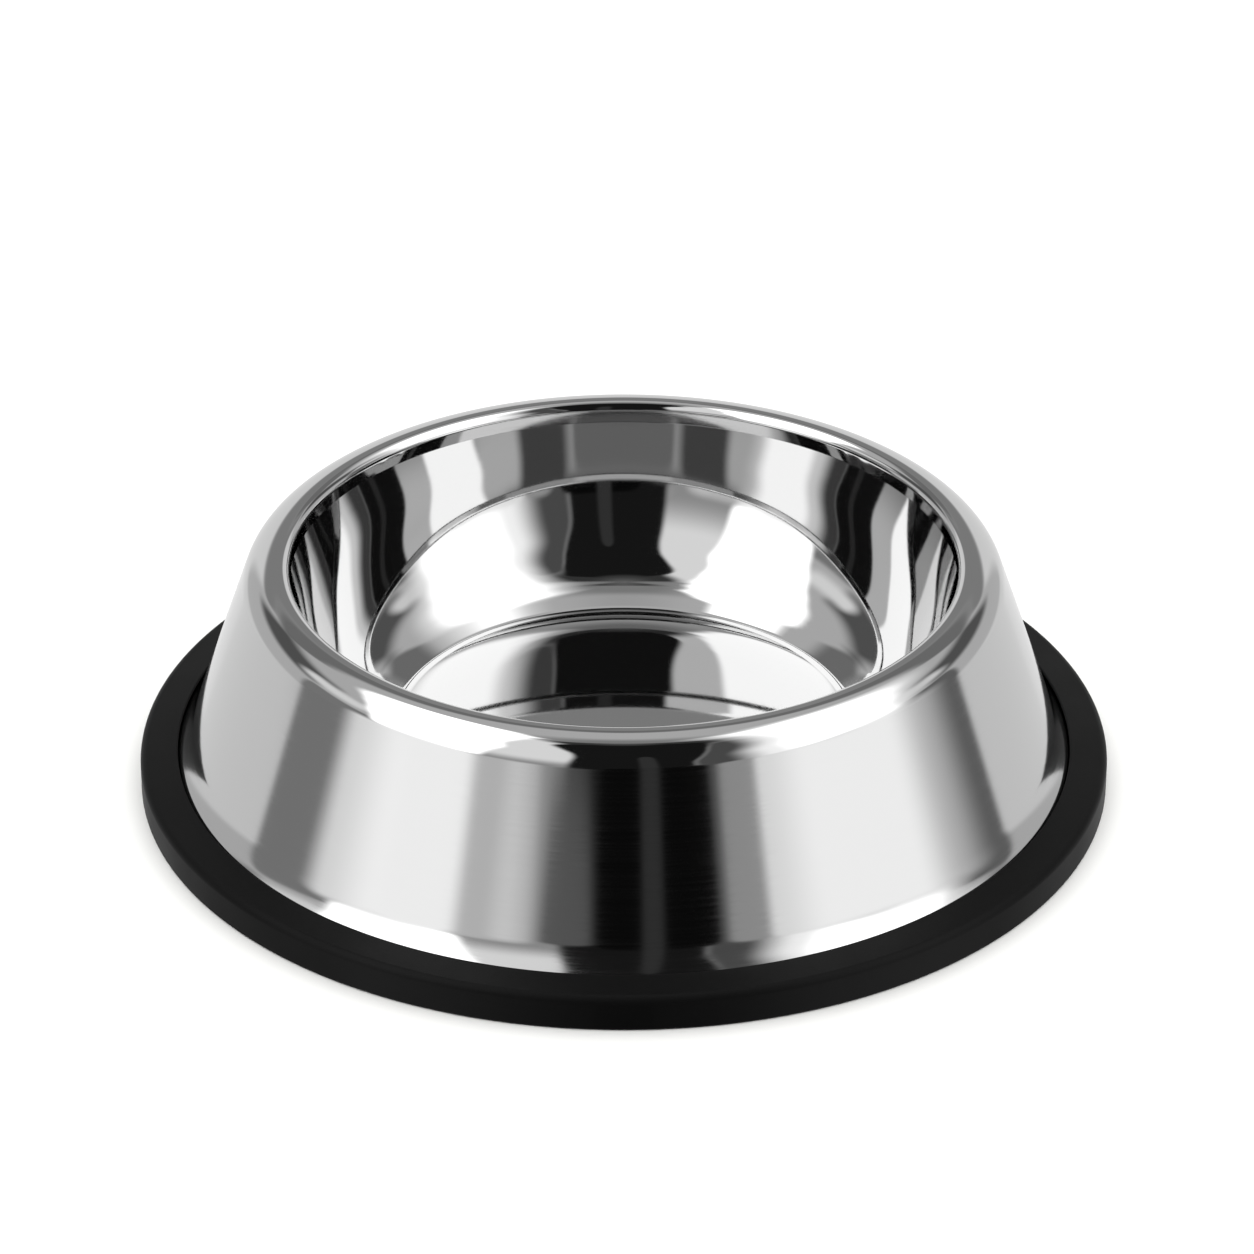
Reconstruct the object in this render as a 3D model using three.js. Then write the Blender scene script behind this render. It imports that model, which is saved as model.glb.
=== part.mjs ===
// A non-tip steel pet bowl in three pieces: a pressed inner bowl, an outer skirt whose top edge
// rolls over the bowl's flange as the rim, and a rubber ring gripped on the skirt's flared foot.
// Millimetres, +Z up. The origin is on the table, under the middle of the bowl.
import * as THREE from "three";

// Steel sheet and the space left between pieces that touch.
const SHEET = 0.7;
const SEAT_GAP = 0.3;

// Rim: the skirt's top edge, rolled inwards and hemmed down inside the mouth.
const RIM_HEIGHT = 62.8;
const MOUTH_RADIUS = 85.4;
const RIM_WIDTH = 10;
const RIM_INNER_ROUND = 2.4;
const RIM_OUTER_ROUND = 9;
const HEM_DEPTH = 5.6;

// Skirt: a cone, then a flare into a sloping foot. Leans are in degrees from upright.
const SKIRT_LEAN = 19;
const FLARE_ROUND = 19;
const FOOT_LEAN = 58;
const FOOT_LENGTH = 1;

// Inner bowl: a floor whose flat middle stands a little above its creased edge, a short rise, a round into
// the side, a wide round, and a straight leaning wall. The inset runs from the mouth in to the rise's top.
// Where two lines meet in a round, radius and height are those of the sharp corner.
const FLOOR_HEIGHT = 15;
const MIDDLE_RISE = 0.83;
const MIDDLE_BAND = 14;
const MIDDLE_ROUND = 120;
const FLOOR_ROUND = 6;
const RISE_INSET = 13;
const RISE_WIDTH = 13.4;
const RISE_SLOPE = 24;
const RISE_ROUND = 23.8;
const SIDE_SLOPE = 60.5;
const BOWL_ROUND = 71;
const WALL_LEAN = 13.5;

// Rubber ring: the sole under the foot, the wall outside it, and the lip that covers it.
const SOLE_THICKNESS = 4.5;
const SOLE_WIDTH = 13.9;
const SOLE_ROUND = 0.8;
const RING_WALL = 4.8;
const RING_TOP_ROUND = 2;
const LIP_COVER = 4.6;
const LIP_EDGE = 0.7;
const LIP_FALL = 0.9;
const LIP_ROUND = 0.4;

// Fineness of the round shapes: facets in a full turn, the largest turn between two points of an arc,
// and the distance under which two points of a section count as one.
const FACETS = 64;
const ARC_STEP = 10;
const SAME_POINT = 0.001;

const radians = THREE.MathUtils.degToRad;

const corner = (radius, height, round = 0) => ({ at: new THREE.Vector2(radius, height), round });

// The length that each corner's round takes from the lines beside it, shortened where a line is too short.
function roundLengths(corners) {
  const lengths = corners.map(({ at, round }, i) => {
    if (!round) return 0;
    const back = corners[i - 1].at.clone().sub(at);
    const ahead = corners[i + 1].at.clone().sub(at);
    return round / Math.tan(back.angleTo(ahead) / 2);
  });
  for (let i = 1; i < corners.length; i += 1) {
    const room = corners[i].at.distanceTo(corners[i - 1].at);
    const share = Math.min(1, room / (lengths[i - 1] + lengths[i]));
    if (share < 1) {
      lengths[i - 1] *= share;
      lengths[i] *= share;
    }
  }
  return lengths;
}

// A path through the corners as plain points and arcs, each with the direction of the sheet's left side.
function roundedPath(corners) {
  const lengths = roundLengths(corners);
  return corners.map(({ at }, i) => {
    const before = i ? at.clone().sub(corners[i - 1].at).normalize() : null;
    const after = i < corners.length - 1 ? corners[i + 1].at.clone().sub(at).normalize() : null;
    if (!before || !after || !lengths[i]) {
      const along = after ?? before;
      return { at, left: new THREE.Vector2(-along.y, along.x) };
    }
    const turn = Math.atan2(before.cross(after), before.dot(after));
    const round = lengths[i] / Math.tan(Math.abs(turn) / 2);
    const start = at.clone().addScaledVector(before, -lengths[i]);
    const side = new THREE.Vector2(-before.y, before.x).multiplyScalar(Math.sign(turn));
    const centre = start.clone().addScaledVector(side, round);
    return { centre, round, turn, from: start.sub(centre).angle() };
  });
}

// Points of a path moved sideways to its left, which narrows a left turn and widens a right one.
function tracePath(path, sideways = 0) {
  return path.flatMap(({ at, left, centre, round, turn, from }) => {
    if (at) return [at.clone().addScaledVector(left, sideways)];
    const radius = Math.max(0, round - Math.sign(turn) * sideways);
    const steps = Math.max(2, Math.ceil(THREE.MathUtils.radToDeg(Math.abs(turn)) / ARC_STEP));
    return Array.from({ length: steps + 1 }, (_, i) => {
      const angle = from + (turn * i) / steps;
      return new THREE.Vector2(Math.cos(angle), Math.sin(angle)).multiplyScalar(radius).add(centre);
    });
  });
}

// The closed section of a sheet whose shown face follows the path and whose thickness lies to the right.
const sheetSection = (path) => [...tracePath(path, -SHEET), ...tracePath(path).reverse()];

// Height of a falling, outward run of points at a given radius.
function heightAt(points, radius) {
  const next = points.findIndex((p, i) => i > 0 && points[i - 1].x <= radius && p.x >= radius);
  const low = points[next - 1];
  const high = points[next];
  return THREE.MathUtils.mapLinear(radius, low.x, high.x, low.y, high.y);
}

// A section turned about the Z axis. A section that meets the axis closes there by itself.
function turned(name, section, material) {
  const outline = section.filter((p, i) => i === 0 || p.distanceTo(section[i - 1]) > SAME_POINT);
  const closed = outline[0].x === 0 ? outline : [...outline, outline[0]];
  const geometry = new THREE.LatheGeometry(closed, FACETS);
  geometry.rotateX(Math.PI / 2);
  const mesh = new THREE.Mesh(geometry, material);
  mesh.name = name;
  return mesh;
}

// Outer skirt: from the hem's cut edge up over the rim, down the cone and out along the foot.
const skirtSpread = Math.tan(radians(SKIRT_LEAN));
const skirtRadiusAt = (height) => MOUTH_RADIUS + RIM_WIDTH + (RIM_HEIGHT - height) * skirtSpread;
const hemHeight = RIM_HEIGHT - HEM_DEPTH;
const footEdgeHeight = SOLE_THICKNESS + SEAT_GAP + SHEET * Math.sin(radians(FOOT_LEAN));
const footReach = FLARE_ROUND * Math.tan(radians(FOOT_LEAN - SKIRT_LEAN) / 2) + FOOT_LENGTH;
const flareHeight = footEdgeHeight + footReach * Math.cos(radians(FOOT_LEAN));
const flareRadius = skirtRadiusAt(flareHeight);
const footEdgeRadius = flareRadius + footReach * Math.sin(radians(FOOT_LEAN));
const skirtPath = roundedPath([
  corner(MOUTH_RADIUS, hemHeight),
  corner(MOUTH_RADIUS, RIM_HEIGHT, RIM_INNER_ROUND),
  corner(skirtRadiusAt(RIM_HEIGHT), RIM_HEIGHT, RIM_OUTER_ROUND),
  corner(flareRadius, flareHeight, FLARE_ROUND),
  corner(footEdgeRadius, footEdgeHeight),
]);
const [, rimInner, rimOuter] = skirtPath;

// Inner bowl: from the middle of the floor up the wall, behind the hem and out under the rim.
const wallSpread = Math.tan(radians(WALL_LEAN));
const sideSpread = Math.tan(radians(SIDE_SLOPE));
const wallRadiusAt = (height) => MOUTH_RADIUS + SHEET + SEAT_GAP + (height - hemHeight) * wallSpread;
const flangeHeight = RIM_HEIGHT - SHEET - SEAT_GAP;
const flangeRound = Math.max(0, rimInner.round - SHEET - SEAT_GAP);
const riseRadius = MOUTH_RADIUS - RISE_INSET;
const edgeRadius = riseRadius - RISE_WIDTH;
const edgeHeight = FLOOR_HEIGHT - MIDDLE_RISE;
const riseHeight = edgeHeight + RISE_WIDTH * Math.tan(radians(RISE_SLOPE));
const sideTopRadius =
  (wallRadiusAt(riseHeight) - sideSpread * wallSpread * riseRadius) / (1 - sideSpread * wallSpread);
const bowlPath = roundedPath([
  corner(0, FLOOR_HEIGHT),
  corner(edgeRadius - MIDDLE_BAND, FLOOR_HEIGHT, MIDDLE_ROUND),
  corner(edgeRadius, edgeHeight, FLOOR_ROUND),
  corner(riseRadius, riseHeight, RISE_ROUND),
  corner(sideTopRadius, riseHeight + (sideTopRadius - riseRadius) * sideSpread, BOWL_ROUND),
  corner(wallRadiusAt(flangeHeight), flangeHeight, flangeRound),
  corner(rimOuter.centre.x, flangeHeight),
]);

// Rubber ring: a C section that closes over the foot and stands on its sole.
const grooveRadius = footEdgeRadius + SEAT_GAP;
const ringRadius = grooveRadius + RING_WALL;
const soleRadius = ringRadius - SOLE_WIDTH;
const lipRadius = footEdgeRadius - LIP_COVER;
const lipUnderside = heightAt(tracePath(skirtPath, SEAT_GAP), lipRadius);
const lipHeight = lipUnderside + LIP_EDGE;
const ringSection = tracePath(
  roundedPath([
    corner(soleRadius, SOLE_THICKNESS),
    corner(soleRadius, 0, SOLE_ROUND),
    corner(ringRadius, 0, SOLE_ROUND),
    corner(ringRadius, lipHeight - LIP_FALL, RING_TOP_ROUND),
    corner(lipRadius, lipHeight, LIP_ROUND),
    corner(lipRadius, lipUnderside),
    corner(grooveRadius, footEdgeHeight + SEAT_GAP),
    corner(grooveRadius, SOLE_THICKNESS),
  ]),
);

const mirrorSteel = new THREE.MeshStandardMaterial({ color: 0xcfcfcc, metalness: 1, roughness: 0.08 });
const brushedSteel = new THREE.MeshStandardMaterial({ color: 0xcac9c6, metalness: 1, roughness: 0.22 });
const blackRubber = new THREE.MeshStandardMaterial({ color: 0x1b1b1b, metalness: 0, roughness: 0.6 });

const bowl = new THREE.Group();
bowl.add(turned("inner_bowl", sheetSection(bowlPath), mirrorSteel));
bowl.add(turned("outer_skirt", sheetSection(skirtPath), brushedSteel));
bowl.add(turned("rubber_ring", ringSection, blackRubber));

export default bowl;
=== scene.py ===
"""Non-tip steel pet bowl: a polished food bowl in a flared steel skirt, standing on a black rubber ring."""
import cmath
import math

import bpy
import numpy as np
from bpy.props import FloatProperty, FloatVectorProperty, PointerProperty
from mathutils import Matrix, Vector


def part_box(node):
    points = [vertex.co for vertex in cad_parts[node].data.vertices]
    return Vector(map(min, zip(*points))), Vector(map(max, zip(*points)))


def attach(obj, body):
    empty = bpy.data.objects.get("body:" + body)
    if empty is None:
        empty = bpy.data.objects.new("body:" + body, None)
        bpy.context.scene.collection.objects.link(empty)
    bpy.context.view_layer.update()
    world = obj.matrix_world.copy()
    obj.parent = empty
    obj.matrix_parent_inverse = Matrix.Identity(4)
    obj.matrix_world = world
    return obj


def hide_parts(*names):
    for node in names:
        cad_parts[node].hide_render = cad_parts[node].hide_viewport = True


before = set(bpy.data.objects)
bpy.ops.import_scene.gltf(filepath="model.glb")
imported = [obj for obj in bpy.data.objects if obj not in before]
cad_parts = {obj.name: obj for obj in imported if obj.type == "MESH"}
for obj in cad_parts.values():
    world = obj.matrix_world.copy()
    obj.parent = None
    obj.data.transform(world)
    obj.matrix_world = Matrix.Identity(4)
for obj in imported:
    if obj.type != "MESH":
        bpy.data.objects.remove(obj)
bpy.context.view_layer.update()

bl_info = {
    "name": "Steel pet bowl",
    "version": (1, 0, 0),
    "blender": (4, 5, 0),
    "location": "View3D > Sidebar > Pet bowl",
    "description": "Dresses the packed frame of a non-tip steel pet bowl and sets it in a small light tent",
    "category": "Add Mesh",
}

RIM_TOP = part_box("outer_skirt")[1].z

# Fineness of the turned pieces: flats in a full turn, the largest turn between two points of an arc, and the
# distance between points of a curve that is eased.
FLATS = 256
ARC_STEP = math.radians(3)
EASED_STEP = 0.0004

# Points of a section nearer than this make no strip between them.
SAME_POINT = 1e-7


def linear(code):
    """Linear colour of an sRGB hex code."""
    shades = [int(code[i:i + 2], 16) / 255 for i in (1, 3, 5)]
    return [s / 12.92 if s <= 0.04045 else ((s + 0.055) / 1.055) ** 2.4 for s in shades]


def length(name, description, default):
    """A size in metres."""
    return FloatProperty(name=name, description=description, default=default, unit="LENGTH", precision=4)


def angle(name, description, degrees):
    """An angle, given in degrees and kept in radians."""
    return FloatProperty(name=name, description=description, default=math.radians(degrees), subtype="ANGLE")


def colour(name, description, code):
    """A colour, given as an sRGB hex code and kept linear."""
    return FloatVectorProperty(name=name, description=description, default=linear(code), subtype="COLOR",
                               min=0, max=1)


class SteelSizes(bpy.types.PropertyGroup):
    """Sizes of the two steel pressings."""
    sheet: length("Sheet", "Thickness of the steel sheet", 0.0007)
    seat_gap: length("Seat gap", "Space left between pieces that touch", 0.0003)
    cut_round: length("Cut round", "Small round on the sheet's cut edges", 0.0002)
    rim_height: length("Rim height", "Height of the rim above the table", RIM_TOP)
    mouth_radius: length("Mouth radius", "Radius of the mouth inside the hem", 0.0854)
    rim_width: length("Rim width", "From the mouth to the corner where the rim would meet the skirt", 0.01)
    rim_inner_round: length("Rim inner round", "Round from the hem over to the top of the rim", 0.0024)
    rim_outer_round: length("Rim outer round", "Round from the top of the rim to the skirt", 0.009)
    hem_depth: length("Hem depth", "How far the hem comes down inside the mouth", 0.0056)
    skirt_lean: angle("Skirt lean", "Lean of the skirt from upright", 19)
    flare_round: length("Flare round", "Round from the skirt into its foot", 0.019)
    foot_lean: angle("Foot lean", "Lean of the sloping foot from upright", 58)
    foot_length: length("Foot length", "Straight part of the foot", 0.001)
    foot_height: length("Foot height", "Height of the foot's shown edge above the table", 0.0053936)
    floor_height: length("Floor height", "Height of the floor's flat middle above the table", 0.015)
    middle_rise: length("Middle rise", "How far the middle stands above the floor's edge", 0.00083)
    middle_band: length("Middle band", "Width of the band from the middle to the floor's edge", 0.014)
    middle_round: length("Middle round", "Round from the flat middle into the band", 0.12)
    floor_round: length("Floor round", "Round of the crease at the floor's edge", 0.006)
    rise_inset: length("Rise inset", "From the mouth in to where the rise meets the side", 0.013)
    rise_width: length("Rise width", "Width of the short rise round the floor", 0.0134)
    rise_slope: angle("Rise slope", "Slope of the short rise", 24)
    rise_round: length("Rise round", "Round from the rise into the side", 0.0238)
    side_slope: angle("Side slope", "Slope of the side between its two rounds", 60.5)
    bowl_round: length("Bowl round", "Wide round from the side into the wall", 0.071)
    ease: length("Ease", "Length over which a change of the side's curve is spread", 0.005)
    wall_lean: angle("Wall lean", "Lean of the bowl's straight wall from upright", 13.5)


class RingSizes(bpy.types.PropertyGroup):
    """Sizes of the rubber ring."""
    sole_thickness: length("Sole thickness", "Rubber under the foot", 0.0045)
    sole_width: length("Sole width", "Width of the band that stands on the table", 0.0139)
    sole_round: length("Sole round", "Round at the sole's two edges", 0.0008)
    ring_wall: length("Ring wall", "Rubber outside the foot", 0.0048)
    top_round: length("Top round", "Round from the lip to the outside", 0.002)
    lip_cover: length("Lip cover", "How far the lip covers the foot", 0.0046)
    lip_edge: length("Lip edge", "Thickness of the lip's inner edge", 0.0007)
    lip_fall: length("Lip fall", "How far the lip falls towards the outside", 0.0009)
    lip_round: length("Lip round", "Round on the lip's inner edge", 0.0004)


class Finishes(bpy.types.PropertyGroup):
    """Colours of the three materials."""
    polished: colour("Polished steel", "Buffed stainless steel of the bowl's inside and the rim", "#CBCBCB")
    brushed: colour("Brushed steel", "Finely brushed stainless steel of the skirt", "#C8C8C8")
    mill: colour("Mill finish", "Rolled steel that was left unpolished, under the bowl", "#B2B2B2")
    rubber: colour("Rubber", "Black moulded rubber", "#050505")


class StudioLight(bpy.types.PropertyGroup):
    """The table, the tent's light and the camera."""
    table: colour("Table", "Pale table top", "#F2F2F0")
    soft_light: FloatProperty(name="Soft light", description="Even light on the table", default=1.5, min=0)
    tent_radius: length("Tent radius", "From the bowl to the tent's cloth", 2.0)
    camera_distance: length("Camera distance", "Level distance from the bowl's axis to the camera", 1.2659)
    camera_height: length("Camera height", "Height of the camera above the table", 0.749)
    camera_pitch: angle("Camera pitch", "How far the camera looks down", 29.19)
    sensor: FloatProperty(name="Sensor", description="Width of the sensor", default=36, unit="CAMERA")
    lens: FloatProperty(name="Lens", description="Focal length", default=161.8, unit="CAMERA")
    shift: FloatProperty(name="Shift", description="Sideways shift", default=0.00256, precision=5)


def sample_path(corners):
    """Points of a path through corners of (radius, height, round), each with the direction of its left side.

    Points and directions are complex numbers: radius, and height times 1j."""
    points = [complex(radius, height) for radius, height, _ in corners]
    ways = [(b - a) / abs(b - a) for a, b in zip(points, points[1:])]
    samples = [(points[0], 1j * ways[0])]
    for point, (_, _, round_), before, after in zip(points[1:], corners[1:], ways, ways[1:]):
        turn = cmath.phase(after / before)
        if not round_:
            samples += [(point, 1j * before), (point, 1j * after)]
            continue
        side = math.copysign(round_, turn)
        centre = point - before * round_ * math.tan(abs(turn) / 2) + 1j * before * side
        steps = max(4, math.ceil(abs(turn) / ARC_STEP))
        for step in range(steps + 1):
            left = 1j * before * cmath.exp(1j * turn * step / steps)
            samples.append((centre - left * side, left))
    samples.append((points[-1], 1j * ways[-1]))
    return samples


def eased_path(samples, first, last, reach):
    """A path whose curve changes gradually between two radii.

    Points there are averaged twice with their neighbours, over a reach that shrinks towards both ends."""
    low = [sample for sample in samples if sample[0].real < first]
    high = [sample for sample in samples if sample[0].real > last]
    points = np.array([point for point, _ in samples])
    along = np.concatenate([[0], np.cumsum(abs(np.diff(points)))])
    fine = np.linspace(0, along[-1], int(along[-1] / EASED_STEP))
    curve = np.interp(fine, along, points.real) + 1j * np.interp(fine, along, points.imag)
    inside = np.flatnonzero((curve.real >= first) & (curve.real <= last))
    begin, end = fine[inside[0]], fine[inside[-1]]
    for _ in range(2):
        total = np.concatenate([[0], np.cumsum((curve[1:] + curve[:-1]) / 2 * np.diff(fine))])
        span = np.clip(np.minimum(fine - begin, end - fine), 0, reach)
        wide = span > EASED_STEP
        ahead, behind = (np.interp(place, fine, total.real) + 1j * np.interp(place, fine, total.imag)
                         for place in (fine + span, fine - span))
        curve[wide] = ((ahead - behind) / (2 * np.where(wide, span, 1)))[wide]
    ways = np.gradient(curve)
    middle = [(complex(curve[i]), complex(1j * ways[i] / abs(ways[i]))) for i in inside[2:-2]]
    return low + middle + high


def quarter(centre, radius, start):
    """A quarter turn to the right about a centre, as samples that face away from it."""
    turns = [start * cmath.exp(-0.5j * math.pi * i / 4) for i in range(5)]
    return [(centre + radius * turn, turn) for turn in turns]


def cut_edge(end, left, sheet, round_):
    """Cut edge of a sheet at the end of its shown side, rounded on both corners."""
    way = -1j * left
    inner = end - way * round_
    shown_corner = quarter(inner - left * round_, round_, left)
    hidden_corner = quarter(inner - left * (sheet - round_), round_, way)
    return shown_corner + hidden_corner


def sheet_section(shown, sheet, round_):
    """Closed section of a sheet whose thickness lies right of its shown side, as (point, left, hidden)."""
    hidden = [(point - left * sheet, -left) for point, left in reversed(shown)]
    (first, first_left), (last, last_left) = shown[0], shown[-1]
    on_axis = first.real == 0
    start = shown[:1] if on_axis else cut_edge(first - first_left * sheet, -first_left, sheet, round_)
    front = start + shown[1:-1] + cut_edge(last, last_left, sheet, round_)
    back = hidden[1:] if on_axis else hidden[1:-1]
    return [(*sample, False) for sample in front] + [(*sample, True) for sample in back]


def turned(name, section):
    """Object made by turning a closed section about Z, with the exact normals of its arcs.

    The section's samples are (point, left, finish). A finish is the material of the strip from there."""
    closed = section[0][0].real > 0
    strips = list(zip(section, section[1:] + section[:1] if closed else section[1:]))
    spin = [cmath.exp(2j * math.pi * j / FLATS) for j in range(FLATS)]
    rings, verts = {}, []

    def ring(point):
        key = (round(point.real, 8), round(point.imag, 8))
        if key not in rings:
            count = FLATS if point.real > 0 else 1
            rings[key] = [len(verts) + j % count for j in range(FLATS)]
            verts.extend((point.real * s.real, point.real * s.imag, point.imag) for s in spin[:count])
        return rings[key]

    faces, normals, finishes = [], [], []
    for (low, low_left, finish), (high, high_left, _) in strips:
        if abs(high - low) < SAME_POINT:
            continue
        a, b = ring(low), ring(high)
        for j in range(FLATS):
            k = (j + 1) % FLATS
            corners = [(a[j], low_left, j), (b[j], high_left, j), (b[k], high_left, k), (a[k], low_left, k)]
            if a[j] == a[k]:
                corners.pop()
            elif b[j] == b[k]:
                corners.pop(2)
            faces.append([vert for vert, _, _ in corners])
            for _, left, i in corners:
                normals.append((left.real * spin[i].real, left.real * spin[i].imag, left.imag))
            finishes.append(finish)
    mesh = bpy.data.meshes.new(name)
    mesh.from_pydata(verts, [], faces, shade_flat=False)
    mesh.polygons.foreach_set("material_index", finishes)
    mesh.normals_split_custom_set(normals)
    piece = bpy.data.objects.new(name, mesh)
    bpy.context.collection.objects.link(piece)
    return piece


def add_node(tree, kind, values=None, links=None, **settings):
    """Adds a node with its attributes, its socket values and its links from other nodes' outputs."""
    node = tree.nodes.new(kind)
    for key, value in settings.items():
        setattr(node, key, value)
    for socket, value in (values or {}).items():
        node.inputs[socket].default_value = value
    for socket, output in (links or {}).items():
        tree.links.new(output, node.inputs[socket])
    return node


def new_material(name):
    """Empty node material and its tree."""
    material = bpy.data.materials.new(name)
    material.use_nodes = True
    material.node_tree.nodes.clear()
    return material, material.node_tree


def turned_coordinates(tree, spacing, along):
    """Coordinates of marks that run round the Z axis, in spacings across them and runs along them."""
    place = add_node(tree, "ShaderNodeTexCoord").outputs["Object"]
    parts = add_node(tree, "ShaderNodeSeparateXYZ", links={"Vector": place})
    flat = add_node(tree, "ShaderNodeVectorMath", {1: (1, 1, 0)}, {0: place}, operation="MULTIPLY")
    radius = add_node(tree, "ShaderNodeVectorMath", links={0: flat.outputs[0]}, operation="LENGTH")
    across = add_node(tree, "ShaderNodeMath", {1: 1 / spacing}, {0: radius.outputs["Value"]},
                      operation="MULTIPLY")
    up = add_node(tree, "ShaderNodeMath", {1: 1 / spacing}, {0: parts.outputs["Z"]}, operation="MULTIPLY")
    level = add_node(tree, "ShaderNodeMath", links={0: parts.outputs["X"], 1: parts.outputs["Y"]},
                     operation="SUBTRACT")
    run = add_node(tree, "ShaderNodeMath", {1: 1 / along}, {0: level.outputs[0]}, operation="MULTIPLY")
    marks = add_node(tree, "ShaderNodeCombineXYZ",
                     links={"X": across.outputs[0], "Y": up.outputs[0], "Z": run.outputs[0]})
    return marks.outputs[0]


def steel(name, tint, roughness, spread, spacing, along, groove):
    """Stainless steel whose marks run round the axis, with their spacing, their run along and their depth."""
    material, tree = new_material(name)
    marks = add_node(tree, "ShaderNodeTexNoise", {"Scale": 1, "Detail": 3, "Roughness": 0.6},
                     {"Vector": turned_coordinates(tree, spacing, along)})
    rough = add_node(tree, "ShaderNodeMapRange",
                     {"From Min": 0.3, "From Max": 0.7,
                      "To Min": roughness - spread, "To Max": roughness + spread},
                     {"Value": marks.outputs["Fac"]})
    bump = add_node(tree, "ShaderNodeBump", {"Strength": 1, "Distance": groove},
                    {"Height": marks.outputs["Fac"]})
    shader = add_node(tree, "ShaderNodeBsdfPrincipled", {"Base Color": (*tint, 1), "Metallic": 1},
                      {"Roughness": rough.outputs[0], "Normal": bump.outputs[0]})
    add_node(tree, "ShaderNodeOutputMaterial", links={"Surface": shader.outputs[0]})
    return material


def polished_steel(finishes):
    """Buffed stainless steel: a clear mirror, greyer than silver, with a breath of haze from the wheel."""
    return steel("buffed_stainless_steel", finishes.polished, roughness=0.035, spread=0.012,
                 spacing=0.0006, along=0.05, groove=2e-8)


def brushed_steel(finishes):
    """Finely brushed stainless steel: hair lines round the skirt that soften the mirror without hiding it.

    Real hair lines are about 0.05 mm apart, and are drawn 0.35 mm apart so that they show."""
    return steel("brushed_stainless_steel", finishes.brushed, roughness=0.085, spread=0.03,
                 spacing=0.00035, along=0.03, groove=3e-7)


def mill_steel(finishes):
    """Rolled stainless steel as it left the mill, on the hidden sides: a soft grey sheen with no mirror."""
    return steel("mill_finish_stainless_steel", finishes.mill, roughness=0.36, spread=0.06,
                 spacing=0.0012, along=0.02, groove=1e-6)


def moulded_rubber(finishes):
    """Black moulded rubber: dull, with the fine grain of a blasted mould and faintly lighter dry patches."""
    material, tree = new_material("moulded_black_rubber")
    place = add_node(tree, "ShaderNodeTexCoord").outputs["Object"]
    # The mould's grain is about 0.1 mm, and is drawn 0.4 mm wide so that it shows.
    grain = add_node(tree, "ShaderNodeTexNoise", {"Scale": 1 / 0.0004, "Detail": 2}, {"Vector": place})
    patches = add_node(tree, "ShaderNodeTexNoise", {"Scale": 1 / 0.03, "Detail": 4}, {"Vector": place})
    rough = add_node(tree, "ShaderNodeMapRange",
                     {"From Min": 0.3, "From Max": 0.7, "To Min": 0.42, "To Max": 0.54},
                     {"Value": patches.outputs["Fac"]})
    fresh = (*(0.8 * c for c in finishes.rubber), 1)
    dry = (*(1.25 * c for c in finishes.rubber), 1)
    shade = add_node(tree, "ShaderNodeMix", {"A": fresh, "B": dry}, {"Factor": patches.outputs["Fac"]},
                     data_type="RGBA")
    bump = add_node(tree, "ShaderNodeBump", {"Strength": 0.35, "Distance": 0.00005},
                    {"Height": grain.outputs["Fac"]})
    shader = add_node(tree, "ShaderNodeBsdfPrincipled", {"IOR": 1.5, "Specular IOR Level": 0.1},
                      {"Base Color": shade.outputs["Result"], "Roughness": rough.outputs[0],
                       "Normal": bump.outputs[0]})
    add_node(tree, "ShaderNodeOutputMaterial", links={"Surface": shader.outputs[0]})
    return material


def finish_piece(piece, node, slot, *materials):
    """Gives a piece its materials and ties it to the frame."""
    for material in materials:
        piece.data.materials.append(material)
    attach(piece, "root")
    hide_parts(node)


def skirt_corners(steel_sizes):
    """Corners of the skirt's shown side, from the hem's cut edge over the rim and down to the foot's edge."""
    s = steel_sizes
    spread = math.tan(s.skirt_lean)
    reach = s.flare_round * math.tan((s.foot_lean - s.skirt_lean) / 2) + s.foot_length
    flare_height = s.foot_height + reach * math.cos(s.foot_lean)
    top_radius = s.mouth_radius + s.rim_width
    flare_radius = top_radius + (s.rim_height - flare_height) * spread
    return [
        (s.mouth_radius, s.rim_height - s.hem_depth, 0),
        (s.mouth_radius, s.rim_height, s.rim_inner_round),
        (top_radius, s.rim_height, s.rim_outer_round),
        (flare_radius, flare_height, s.flare_round),
        (flare_radius + reach * math.sin(s.foot_lean), s.foot_height, 0),
    ]


def bowl_corners(steel_sizes):
    """Corners of the bowl's shown side, from the middle of its floor up the wall and out under the rim."""
    s = steel_sizes
    setback = s.sheet + s.seat_gap
    wall, side = math.tan(s.wall_lean), math.tan(s.side_slope)
    hem = s.rim_height - s.hem_depth
    flange = s.rim_height - setback

    def wall_radius(height):
        return s.mouth_radius + setback + (height - hem) * wall

    rise = s.mouth_radius - s.rise_inset
    edge, edge_height = rise - s.rise_width, s.floor_height - s.middle_rise
    rise_height = edge_height + s.rise_width * math.tan(s.rise_slope)
    side_top = (wall_radius(rise_height) - side * wall * rise) / (1 - side * wall)
    turn = (math.pi / 2 - s.skirt_lean) / 2
    crown_end = s.mouth_radius + s.rim_width - s.rim_outer_round * math.tan(turn)
    return [
        (0, s.floor_height, 0),
        (edge - s.middle_band, s.floor_height, s.middle_round),
        (edge, edge_height, s.floor_round),
        (rise, rise_height, s.rise_round),
        (side_top, rise_height + (side_top - rise) * side, s.bowl_round),
        (wall_radius(flange), flange, s.rim_inner_round - setback),
        (crown_end, flange, 0),
    ]


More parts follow.
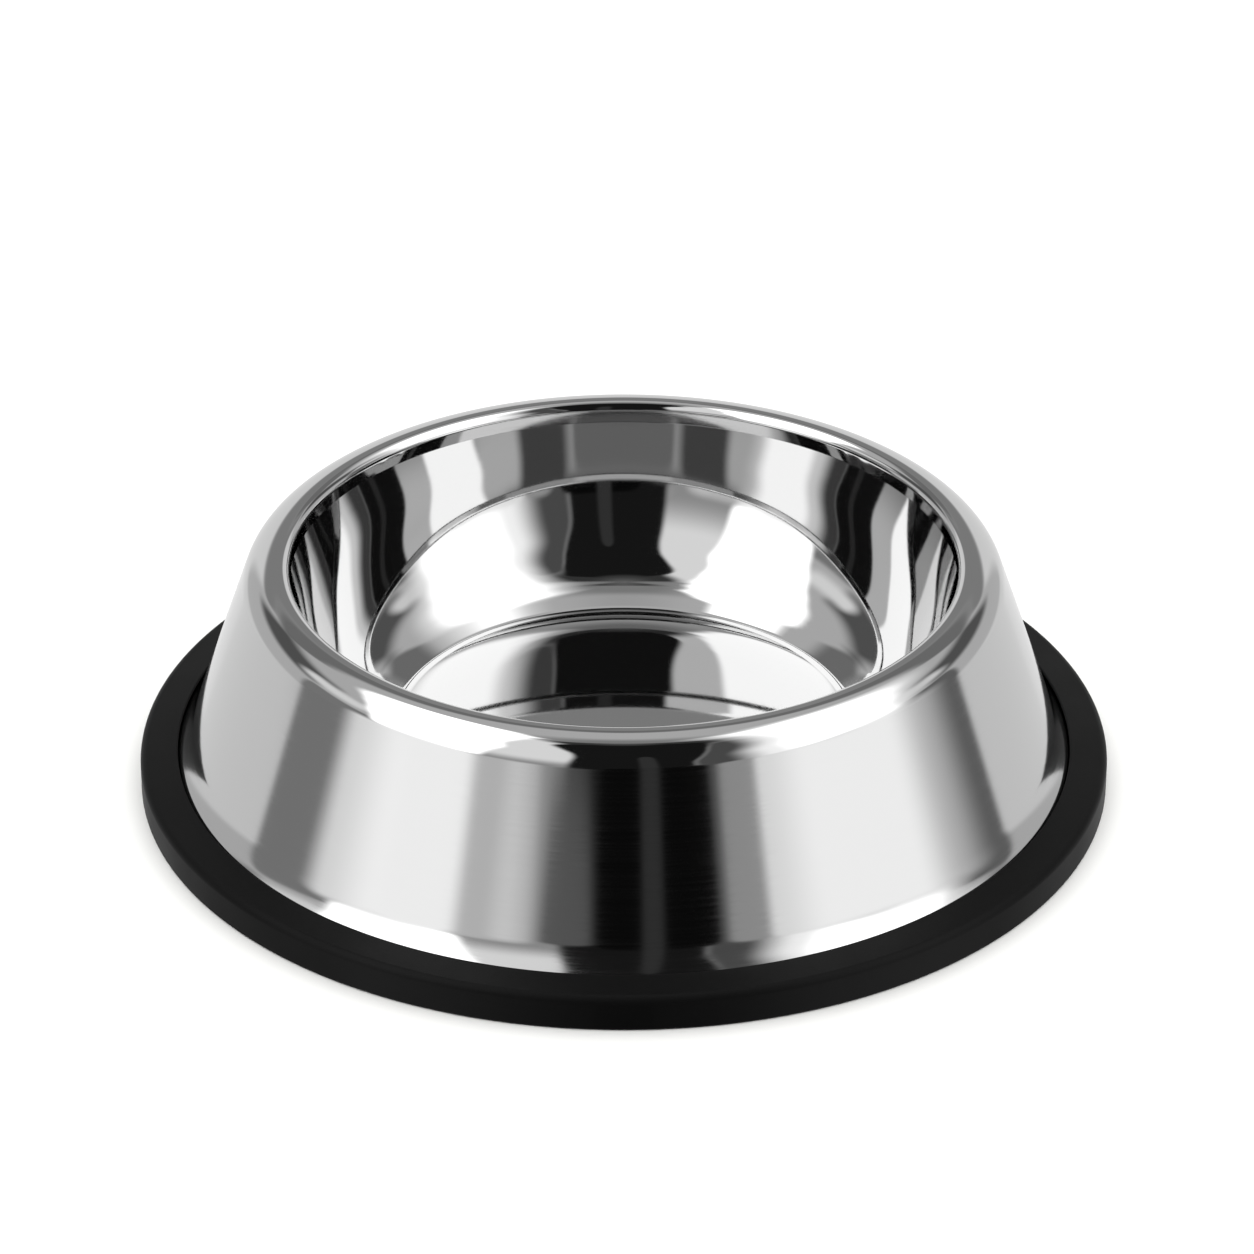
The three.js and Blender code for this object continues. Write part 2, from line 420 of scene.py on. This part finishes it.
class PETBOWL_OT_food_bowl(bpy.types.Operator):
    """Makes the pressed food bowl that hangs inside the skirt"""
    bl_idname = "pet_bowl.food_bowl"
    bl_label = "Food bowl"

    def execute(self, context):
        sizes, finishes = context.scene.pet_bowl_steel, context.scene.pet_bowl_finishes
        corners = bowl_corners(sizes)
        (edge, _, crease), (wall_top, _, turn_out) = corners[2], corners[-2]
        shown = eased_path(sample_path(corners), edge + crease / 2, wall_top - turn_out, sizes.ease)
        section = sheet_section(shown, sizes.sheet, sizes.cut_round)
        piece = turned("food_bowl", [(point, left, int(hidden)) for point, left, hidden in section])
        finish_piece(piece, "inner_bowl", "polished_steel", polished_steel(finishes), mill_steel(finishes))
        return {"FINISHED"}


class PETBOWL_OT_skirt(bpy.types.Operator):
    """Makes the outer skirt, whose top edge rolls over as the rim"""
    bl_idname = "pet_bowl.skirt"
    bl_label = "Skirt and rim"

    def execute(self, context):
        sizes, finishes = context.scene.pet_bowl_steel, context.scene.pet_bowl_finishes
        shown = sample_path(skirt_corners(sizes))
        section = sheet_section(shown, sizes.sheet, sizes.cut_round)
        # The polish ends on the rim's outer round, one step of the arc above the skirt's straight part.
        polish_end = sizes.rim_height - sizes.rim_outer_round * (1 - math.sin(sizes.skirt_lean + ARC_STEP))
        mirror, mill, brushed = range(3)
        piece = turned("rim_and_skirt", [
            (point, left, mill if hidden else mirror if point.imag > polish_end else brushed)
            for point, left, hidden in section
        ])
        finish_piece(piece, "outer_skirt", "brushed_steel",
                     polished_steel(finishes), mill_steel(finishes), brushed_steel(finishes))
        return {"FINISHED"}


class PETBOWL_OT_grip_ring(bpy.types.Operator):
    """Makes the rubber ring that grips the skirt's foot"""
    bl_idname = "pet_bowl.grip_ring"
    bl_label = "Rubber ring"

    def execute(self, context):
        steel_sizes, r = context.scene.pet_bowl_steel, context.scene.pet_bowl_ring
        gap = steel_sizes.seat_gap
        foot_radius, foot_height, _ = skirt_corners(steel_sizes)[-1]
        groove = foot_radius + gap
        outside = groove + r.ring_wall
        inside = outside - r.sole_width
        lip = foot_radius - r.lip_cover
        seat = [point + left * gap for point, left in sample_path(skirt_corners(steel_sizes))]
        below_rim = [p for p in seat if p.real > steel_sizes.mouth_radius + steel_sizes.rim_width]
        under_lip = float(np.interp(lip, [p.real for p in below_rim], [p.imag for p in below_rim]))
        top = under_lip + r.lip_edge
        corners = [
            (inside, r.sole_thickness, 0),
            (groove, r.sole_thickness, 0),
            (groove, foot_height + gap, 0),
            (lip, under_lip, 0),
            (lip, top, r.lip_round),
            (outside, top - r.lip_fall, r.top_round),
            (outside, 0, r.sole_round),
            (inside, 0, r.sole_round),
            (inside, r.sole_thickness, 0),
        ]
        piece = turned("rubber_grip_ring", [(point, left, 0) for point, left in sample_path(corners)])
        finish_piece(piece, "rubber_ring", "black_rubber", moulded_rubber(context.scene.pet_bowl_finishes))
        return {"FINISHED"}


def block(left, right, low, high):
    """Corners of an upright panel, as its two azimuths and two elevations."""
    return ((left, low), (right, low), (right, high), (left, high))


# What the steel mirrors: cloth panels of a small tent, each painted over the ones before it. The numbers
# after a name are its brightness and the softness of its edge in degrees. Corners are azimuth and elevation
# in degrees, seen from the bowl. Azimuth 0 is towards the camera, and it grows to the right.
TENT_SHADE = 0.62
TENT_PANELS = (
    ("table", 0.85, 3, block(-400, 400, -99, -4)),
    ("back_low", 0.9, 3, block(148, 212, -40, 25)),
    ("back_middle", 0.3, 2, block(146, 214, 25, 33)),
    ("back_dark", 0.22, 2.5, block(139, 221, 33, 46)),
    ("gap_left", 0.27, 1.5, block(-101, -60, -60, 18)),
    ("gap_right", 0.17, 1.5, block(60, 107, -60, 18)),
    ("gap_left_high", 0.12, 4, block(-142, -98, 19, 38)),
    ("gap_right_high", 0.12, 4, block(98, 142, 19, 36)),
    ("side_card_left", 1.0, 4, block(-110, -79, 23, 34)),
    ("side_card_right", 0.9, 4, block(84, 110, 23, 34)),
    ("ceiling_back", 0.3, 7, block(-400, 400, 77, 120)),
    ("ceiling_front", 0.05, 8, block(-85, 85, 68, 90)),
    ("cloth_left", 1.08, 2.5, (
        (-12, 10), (-12, 48), (-26, 66), (-46, 77), (-90, 79), (-90, 60), (-45, 40), (-45, 10))),
    ("cloth_left_foot", 0.4, 10, block(-58, -10, -10, 22)),
    ("front_dark", 0.012, 1.5, (
        (-15.5, -60), (20, -60), (20, 25), (27, 46), (34, 60), (46, 70), (60, 75), (50, 82), (-40, 82),
        (-48, 75), (-29, 65), (-18.5, 54), (-15.5, 42))),
    ("shade_right", 0.1, 1.5, (
        (20, -60), (44, -60), (46, 44), (66, 69), (46, 70), (34, 60), (27, 46), (20, 25))),
    ("softbox_left", 2.5, 2, (
        (-40, 10), (-40, 48), (-57, 68), (-75, 75), (-112, 79), (-143, 72), (-152, 62), (-148, 56),
        (-106, 49), (-90, 41), (-77, 24), (-74, 10))),
    ("softbox_right_edge", 1.45, 7, (
        (36, 6), (36, 34), (53, 61), (68, 71), (92, 77), (125, 78), (152, 62), (148, 53), (105, 42),
        (90, 30), (86, 6))),
    ("softbox_right", 2.5, 5, (
        (48, 8), (48, 34), (64, 60), (78, 69), (98, 74), (125, 75), (146, 62), (140, 57), (102, 46),
        (84, 30), (80, 8))),
    ("cloth_left_low", 0.72, 2, block(-48, -22, -60, 12)),
    ("cloth_left_fold", 0.92, 3, block(-32, -25, -60, 10)),
    ("card_left_low", 0.14, 1.5, block(-20.5, -7, -60, 9)),
    ("front_low", 0.004, 0.8, block(-6.5, 23, -60, 13)),
    ("card_right_low", 0.42, 1.5, block(25, 36, -60, 12)),
    ("cloth_right_low", 1.14, 1.5, block(35.3, 70, -60, 12)),
    ("fade_left", 1.1, 4, block(-81, -52, -60, 12)),
    ("fade_right", 0.75, 8, block(58, 95, -60, 11)),
    ("softbox_left_low", 1.47, 8, block(-70, -48, -60, 12)),
    ("softbox_left_edge", 1.45, 2.5, block(-60, -40.8, -60, 12)),
    ("softbox_right_low", 1.45, 7, block(44, 83, -60, 12)),
    ("lens_strip", 0.045, 0.8, block(4.5, 9.5, -60, 48)),
)


def panel_outline(corners):
    """Closed curve along a panel's edges: points two degrees apart, averaged by fives to round corners."""
    ends = np.array(corners + corners[:1], float)
    along = np.concatenate([[0], np.cumsum(np.hypot(*np.diff(ends, axis=0).T))])
    places = np.arange(0, along[-1], 2)
    curve = np.stack([np.interp(places, along, ends[:, 0]), np.interp(places, along, ends[:, 1])], axis=1)
    for _ in range(2):
        curve = sum(np.roll(curve, shift, axis=0) for shift in range(-2, 3)) / 5
    return curve


def panel_cover(azimuth, elevation, corners, soft):
    """How far each direction lies inside a panel, from 0 outside to 1 inside, across its soft edge."""
    turn = np.mean([corner[0] for corner in corners])
    azimuth = (azimuth - turn + 180) % 360 - 180 + turn
    nearest, inside = np.full(azimuth.shape, np.inf), np.zeros(azimuth.shape, bool)
    curve = panel_outline(corners)
    for (x0, y0), (x1, y1) in zip(curve, np.roll(curve, -1, axis=0)):
        dx, dy = x1 - x0, y1 - y0
        along = np.clip(((azimuth - x0) * dx + (elevation - y0) * dy) / (dx * dx + dy * dy), 0, 1)
        nearest = np.minimum(nearest, np.hypot(azimuth - x0 - along * dx, elevation - y0 - along * dy))
        if dy:
            crossing = x0 + (elevation - y0) * dx / dy
            inside ^= ((y0 > elevation) != (y1 > elevation)) & (azimuth < crossing)
    cover = np.clip(0.5 + np.where(inside, nearest, -nearest) / (2 * soft), 0, 1)
    return cover * cover * (3 - 2 * cover)


def tent_glow(azimuth, elevation):
    """Brightness of the tent in each direction."""
    glow = np.full(azimuth.shape, TENT_SHADE)
    for _, brightness, soft, corners in TENT_PANELS:
        cover = panel_cover(azimuth, elevation, corners, soft)
        glow = glow + cover * (brightness - glow)
    return glow


def make_tent(radius):
    """The tent as a sphere that only mirrors see, with its brightness kept on its points."""
    rows, columns = 180, 480
    el = np.linspace(-89.5, 89.5, rows)
    az = np.linspace(-180, 180, columns, endpoint=False)
    azimuth, elevation = (grid.ravel() for grid in np.meshgrid(az, el))
    a, e = np.radians(azimuth), np.radians(elevation)
    verts = radius * np.stack([np.sin(a) * np.cos(e), -np.cos(a) * np.cos(e), np.sin(e)], axis=1)
    faces = []
    for low in range(0, (rows - 1) * columns, columns):
        high = low + columns
        for j in range(columns):
            k = (j + 1) % columns
            faces.append((low + j, low + k, high + k, high + j))
    faces += [tuple(range(columns)), tuple(range((rows - 1) * columns, rows * columns))]
    mesh = bpy.data.meshes.new("light_tent")
    mesh.from_pydata(verts.tolist(), [], faces)
    mesh.attributes.new("glow", "FLOAT", "POINT").data.foreach_set("value", tent_glow(azimuth, elevation))
    material, tree = new_material("lit_tent_cloth")
    glow = add_node(tree, "ShaderNodeAttribute", attribute_name="glow")
    light = add_node(tree, "ShaderNodeEmission", {"Color": (1, 1, 1, 1)}, {"Strength": glow.outputs["Fac"]})
    add_node(tree, "ShaderNodeOutputMaterial", links={"Surface": light.outputs[0]})
    mesh.materials.append(material)
    tent = bpy.data.objects.new("light_tent", mesh)
    tent.visible_camera = tent.visible_diffuse = tent.visible_shadow = False
    tent.visible_transmission = tent.visible_volume_scatter = False
    return tent


def make_table(tint):
    """The pale table top, with a faint unevenness."""
    half = 4.0
    mesh = bpy.data.meshes.new("table_top")
    corners = [(-half, -half, 0), (half, -half, 0), (half, half, 0), (-half, half, 0)]
    mesh.from_pydata(corners, [], [(0, 1, 2, 3)])
    material, tree = new_material("matt_white_laminate")
    place = add_node(tree, "ShaderNodeTexCoord").outputs["Object"]
    cloudy = add_node(tree, "ShaderNodeTexNoise", {"Scale": 8, "Detail": 3}, {"Vector": place})
    shade = add_node(tree, "ShaderNodeMix", {"A": (*(0.985 * c for c in tint), 1), "B": (*tint, 1)},
                     {"Factor": cloudy.outputs["Fac"]}, data_type="RGBA")
    shader = add_node(tree, "ShaderNodeBsdfDiffuse", links={"Color": shade.outputs["Result"]})
    add_node(tree, "ShaderNodeOutputMaterial", links={"Surface": shader.outputs[0]})
    mesh.materials.append(material)
    table = bpy.data.objects.new("table_top", mesh)
    table.visible_glossy = False
    return table


class PETBOWL_OT_studio(bpy.types.Operator):
    """Sets the table, the light tent and the camera"""
    bl_idname = "pet_bowl.studio"
    bl_label = "Table, light and camera"

    def execute(self, context):
        scene, studio = context.scene, context.scene.pet_bowl_studio
        for item in (make_table(studio.table), make_tent(studio.tent_radius)):
            scene.collection.objects.link(item)
        world = bpy.data.worlds.new("even_daylight")
        world.use_nodes = True
        world.node_tree.nodes["Background"].inputs["Color"].default_value = (1, 1, 1, 1)
        world.node_tree.nodes["Background"].inputs["Strength"].default_value = studio.soft_light
        scene.world = world
        lens = bpy.data.cameras.new("camera")
        lens.sensor_width, lens.lens, lens.shift_x = studio.sensor, studio.lens, studio.shift
        camera = bpy.data.objects.new("camera", lens)
        camera.location = (0, -studio.camera_distance, studio.camera_height)
        camera.rotation_euler = (math.pi / 2 - studio.camera_pitch, 0, 0)
        scene.collection.objects.link(camera)
        scene.camera = camera
        scene.view_settings.view_transform = "Standard"
        return {"FINISHED"}


class PETBOWL_PT_panel(bpy.types.Panel):
    """Sizes, finishes and makers of the pet bowl"""
    bl_idname = "PETBOWL_PT_panel"
    bl_label = "Steel pet bowl"
    bl_space_type = "VIEW_3D"
    bl_region_type = "UI"
    bl_category = "Pet bowl"

    def draw(self, context):
        for operator in OPERATORS:
            self.layout.operator(operator.bl_idname)
        for name in GROUPS:
            group = getattr(context.scene, name)
            box = self.layout.box()
            for key in group.__annotations__:
                box.prop(group, key)


GROUPS = {
    "pet_bowl_steel": SteelSizes,
    "pet_bowl_ring": RingSizes,
    "pet_bowl_finishes": Finishes,
    "pet_bowl_studio": StudioLight,
}
OPERATORS = (PETBOWL_OT_food_bowl, PETBOWL_OT_skirt, PETBOWL_OT_grip_ring, PETBOWL_OT_studio)


def register():
    for cls in (*GROUPS.values(), *OPERATORS, PETBOWL_PT_panel):
        bpy.utils.register_class(cls)
    for name, group in GROUPS.items():
        setattr(bpy.types.Scene, name, PointerProperty(type=group))


def unregister():
    for name in GROUPS:
        delattr(bpy.types.Scene, name)
    for cls in reversed((*GROUPS.values(), *OPERATORS, PETBOWL_PT_panel)):
        bpy.utils.unregister_class(cls)


def main():
    register()
    bpy.ops.pet_bowl.food_bowl()
    bpy.ops.pet_bowl.skirt()
    bpy.ops.pet_bowl.grip_ring()
    bpy.ops.pet_bowl.studio()
    bpy.context.view_layer.update()


if __name__ == "__main__":
    main()
